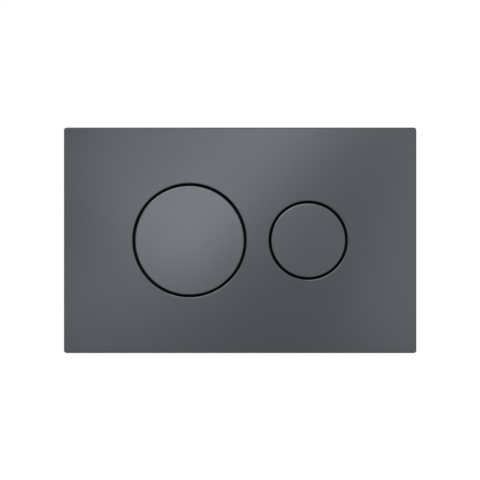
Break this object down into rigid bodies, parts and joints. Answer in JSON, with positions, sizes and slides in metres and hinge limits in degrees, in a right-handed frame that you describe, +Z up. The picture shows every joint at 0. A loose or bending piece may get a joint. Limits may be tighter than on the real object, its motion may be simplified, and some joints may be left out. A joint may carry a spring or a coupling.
{
  "type": "dual flush plate",
  "caption": "Rectangular metal flush plate for a concealed cistern, with a large and a small round spring-return push button, a clip-on mounting frame and push rods.",
  "frame": {"origin": "on the wall, behind the middle of the cover: the centre of the frame's wall face", "axes": "+X to the user's right along the plate, +Y into the wall, +Z up"},
  "size_m": [0.25, 0.085, 0.16],
  "materials": {
    "cover_finish": "satin anthracite coat",
    "button_finish": "satin anthracite coat, a little lighter than the cover",
    "carrier_plastic": "matt black moulding",
    "slider_plastic": "matt black moulding",
    "frame_plastic": "light grey moulding",
    "rod_plastic": "white rod stock",
    "nut_plastic": "matt black moulding",
    "washer_plastic": "grey moulding",
    "steel": "zinc-plated"
  },
  "bodies": {
    "plate_assembly": {"button_carrier": "carrier_plastic", "carrier_screws": "steel", "clip_lower_left": "steel", "clip_lower_right": "steel", "clip_upper_left": "steel", "clip_upper_right": "steel", "fixing_screws": "steel", "fixing_washers": "washer_plastic", "front_plate": "cover_finish", "full_flush_spring": "steel", "half_flush_spring": "steel", "mounting_frame": "frame_plastic"},
    "full_flush_button": {"full_flush_cap": "button_finish", "full_flush_slider": "slider_plastic", "full_flush_push_rod": "rod_plastic", "full_flush_lock_nut": "nut_plastic"},
    "half_flush_button": {"half_flush_cap": "button_finish", "half_flush_slider": "slider_plastic", "half_flush_push_rod": "rod_plastic", "half_flush_lock_nut": "nut_plastic"}
  },
  "joints": [
    {"name": "full_flush_press", "type": "slide", "parent": "plate_assembly", "child": "full_flush_button", "axis": [0, 1, 0], "range_m": [0, 0.005], "stiffness_N_per_m": 500, "springref_m": -0.008, "deforming": ["full_flush_spring"]},
    {"name": "half_flush_press", "type": "slide", "parent": "plate_assembly", "child": "half_flush_button", "axis": [0, 1, 0], "range_m": [0, 0.005], "stiffness_N_per_m": 500, "springref_m": -0.008, "deforming": ["half_flush_spring"]}
  ]
}
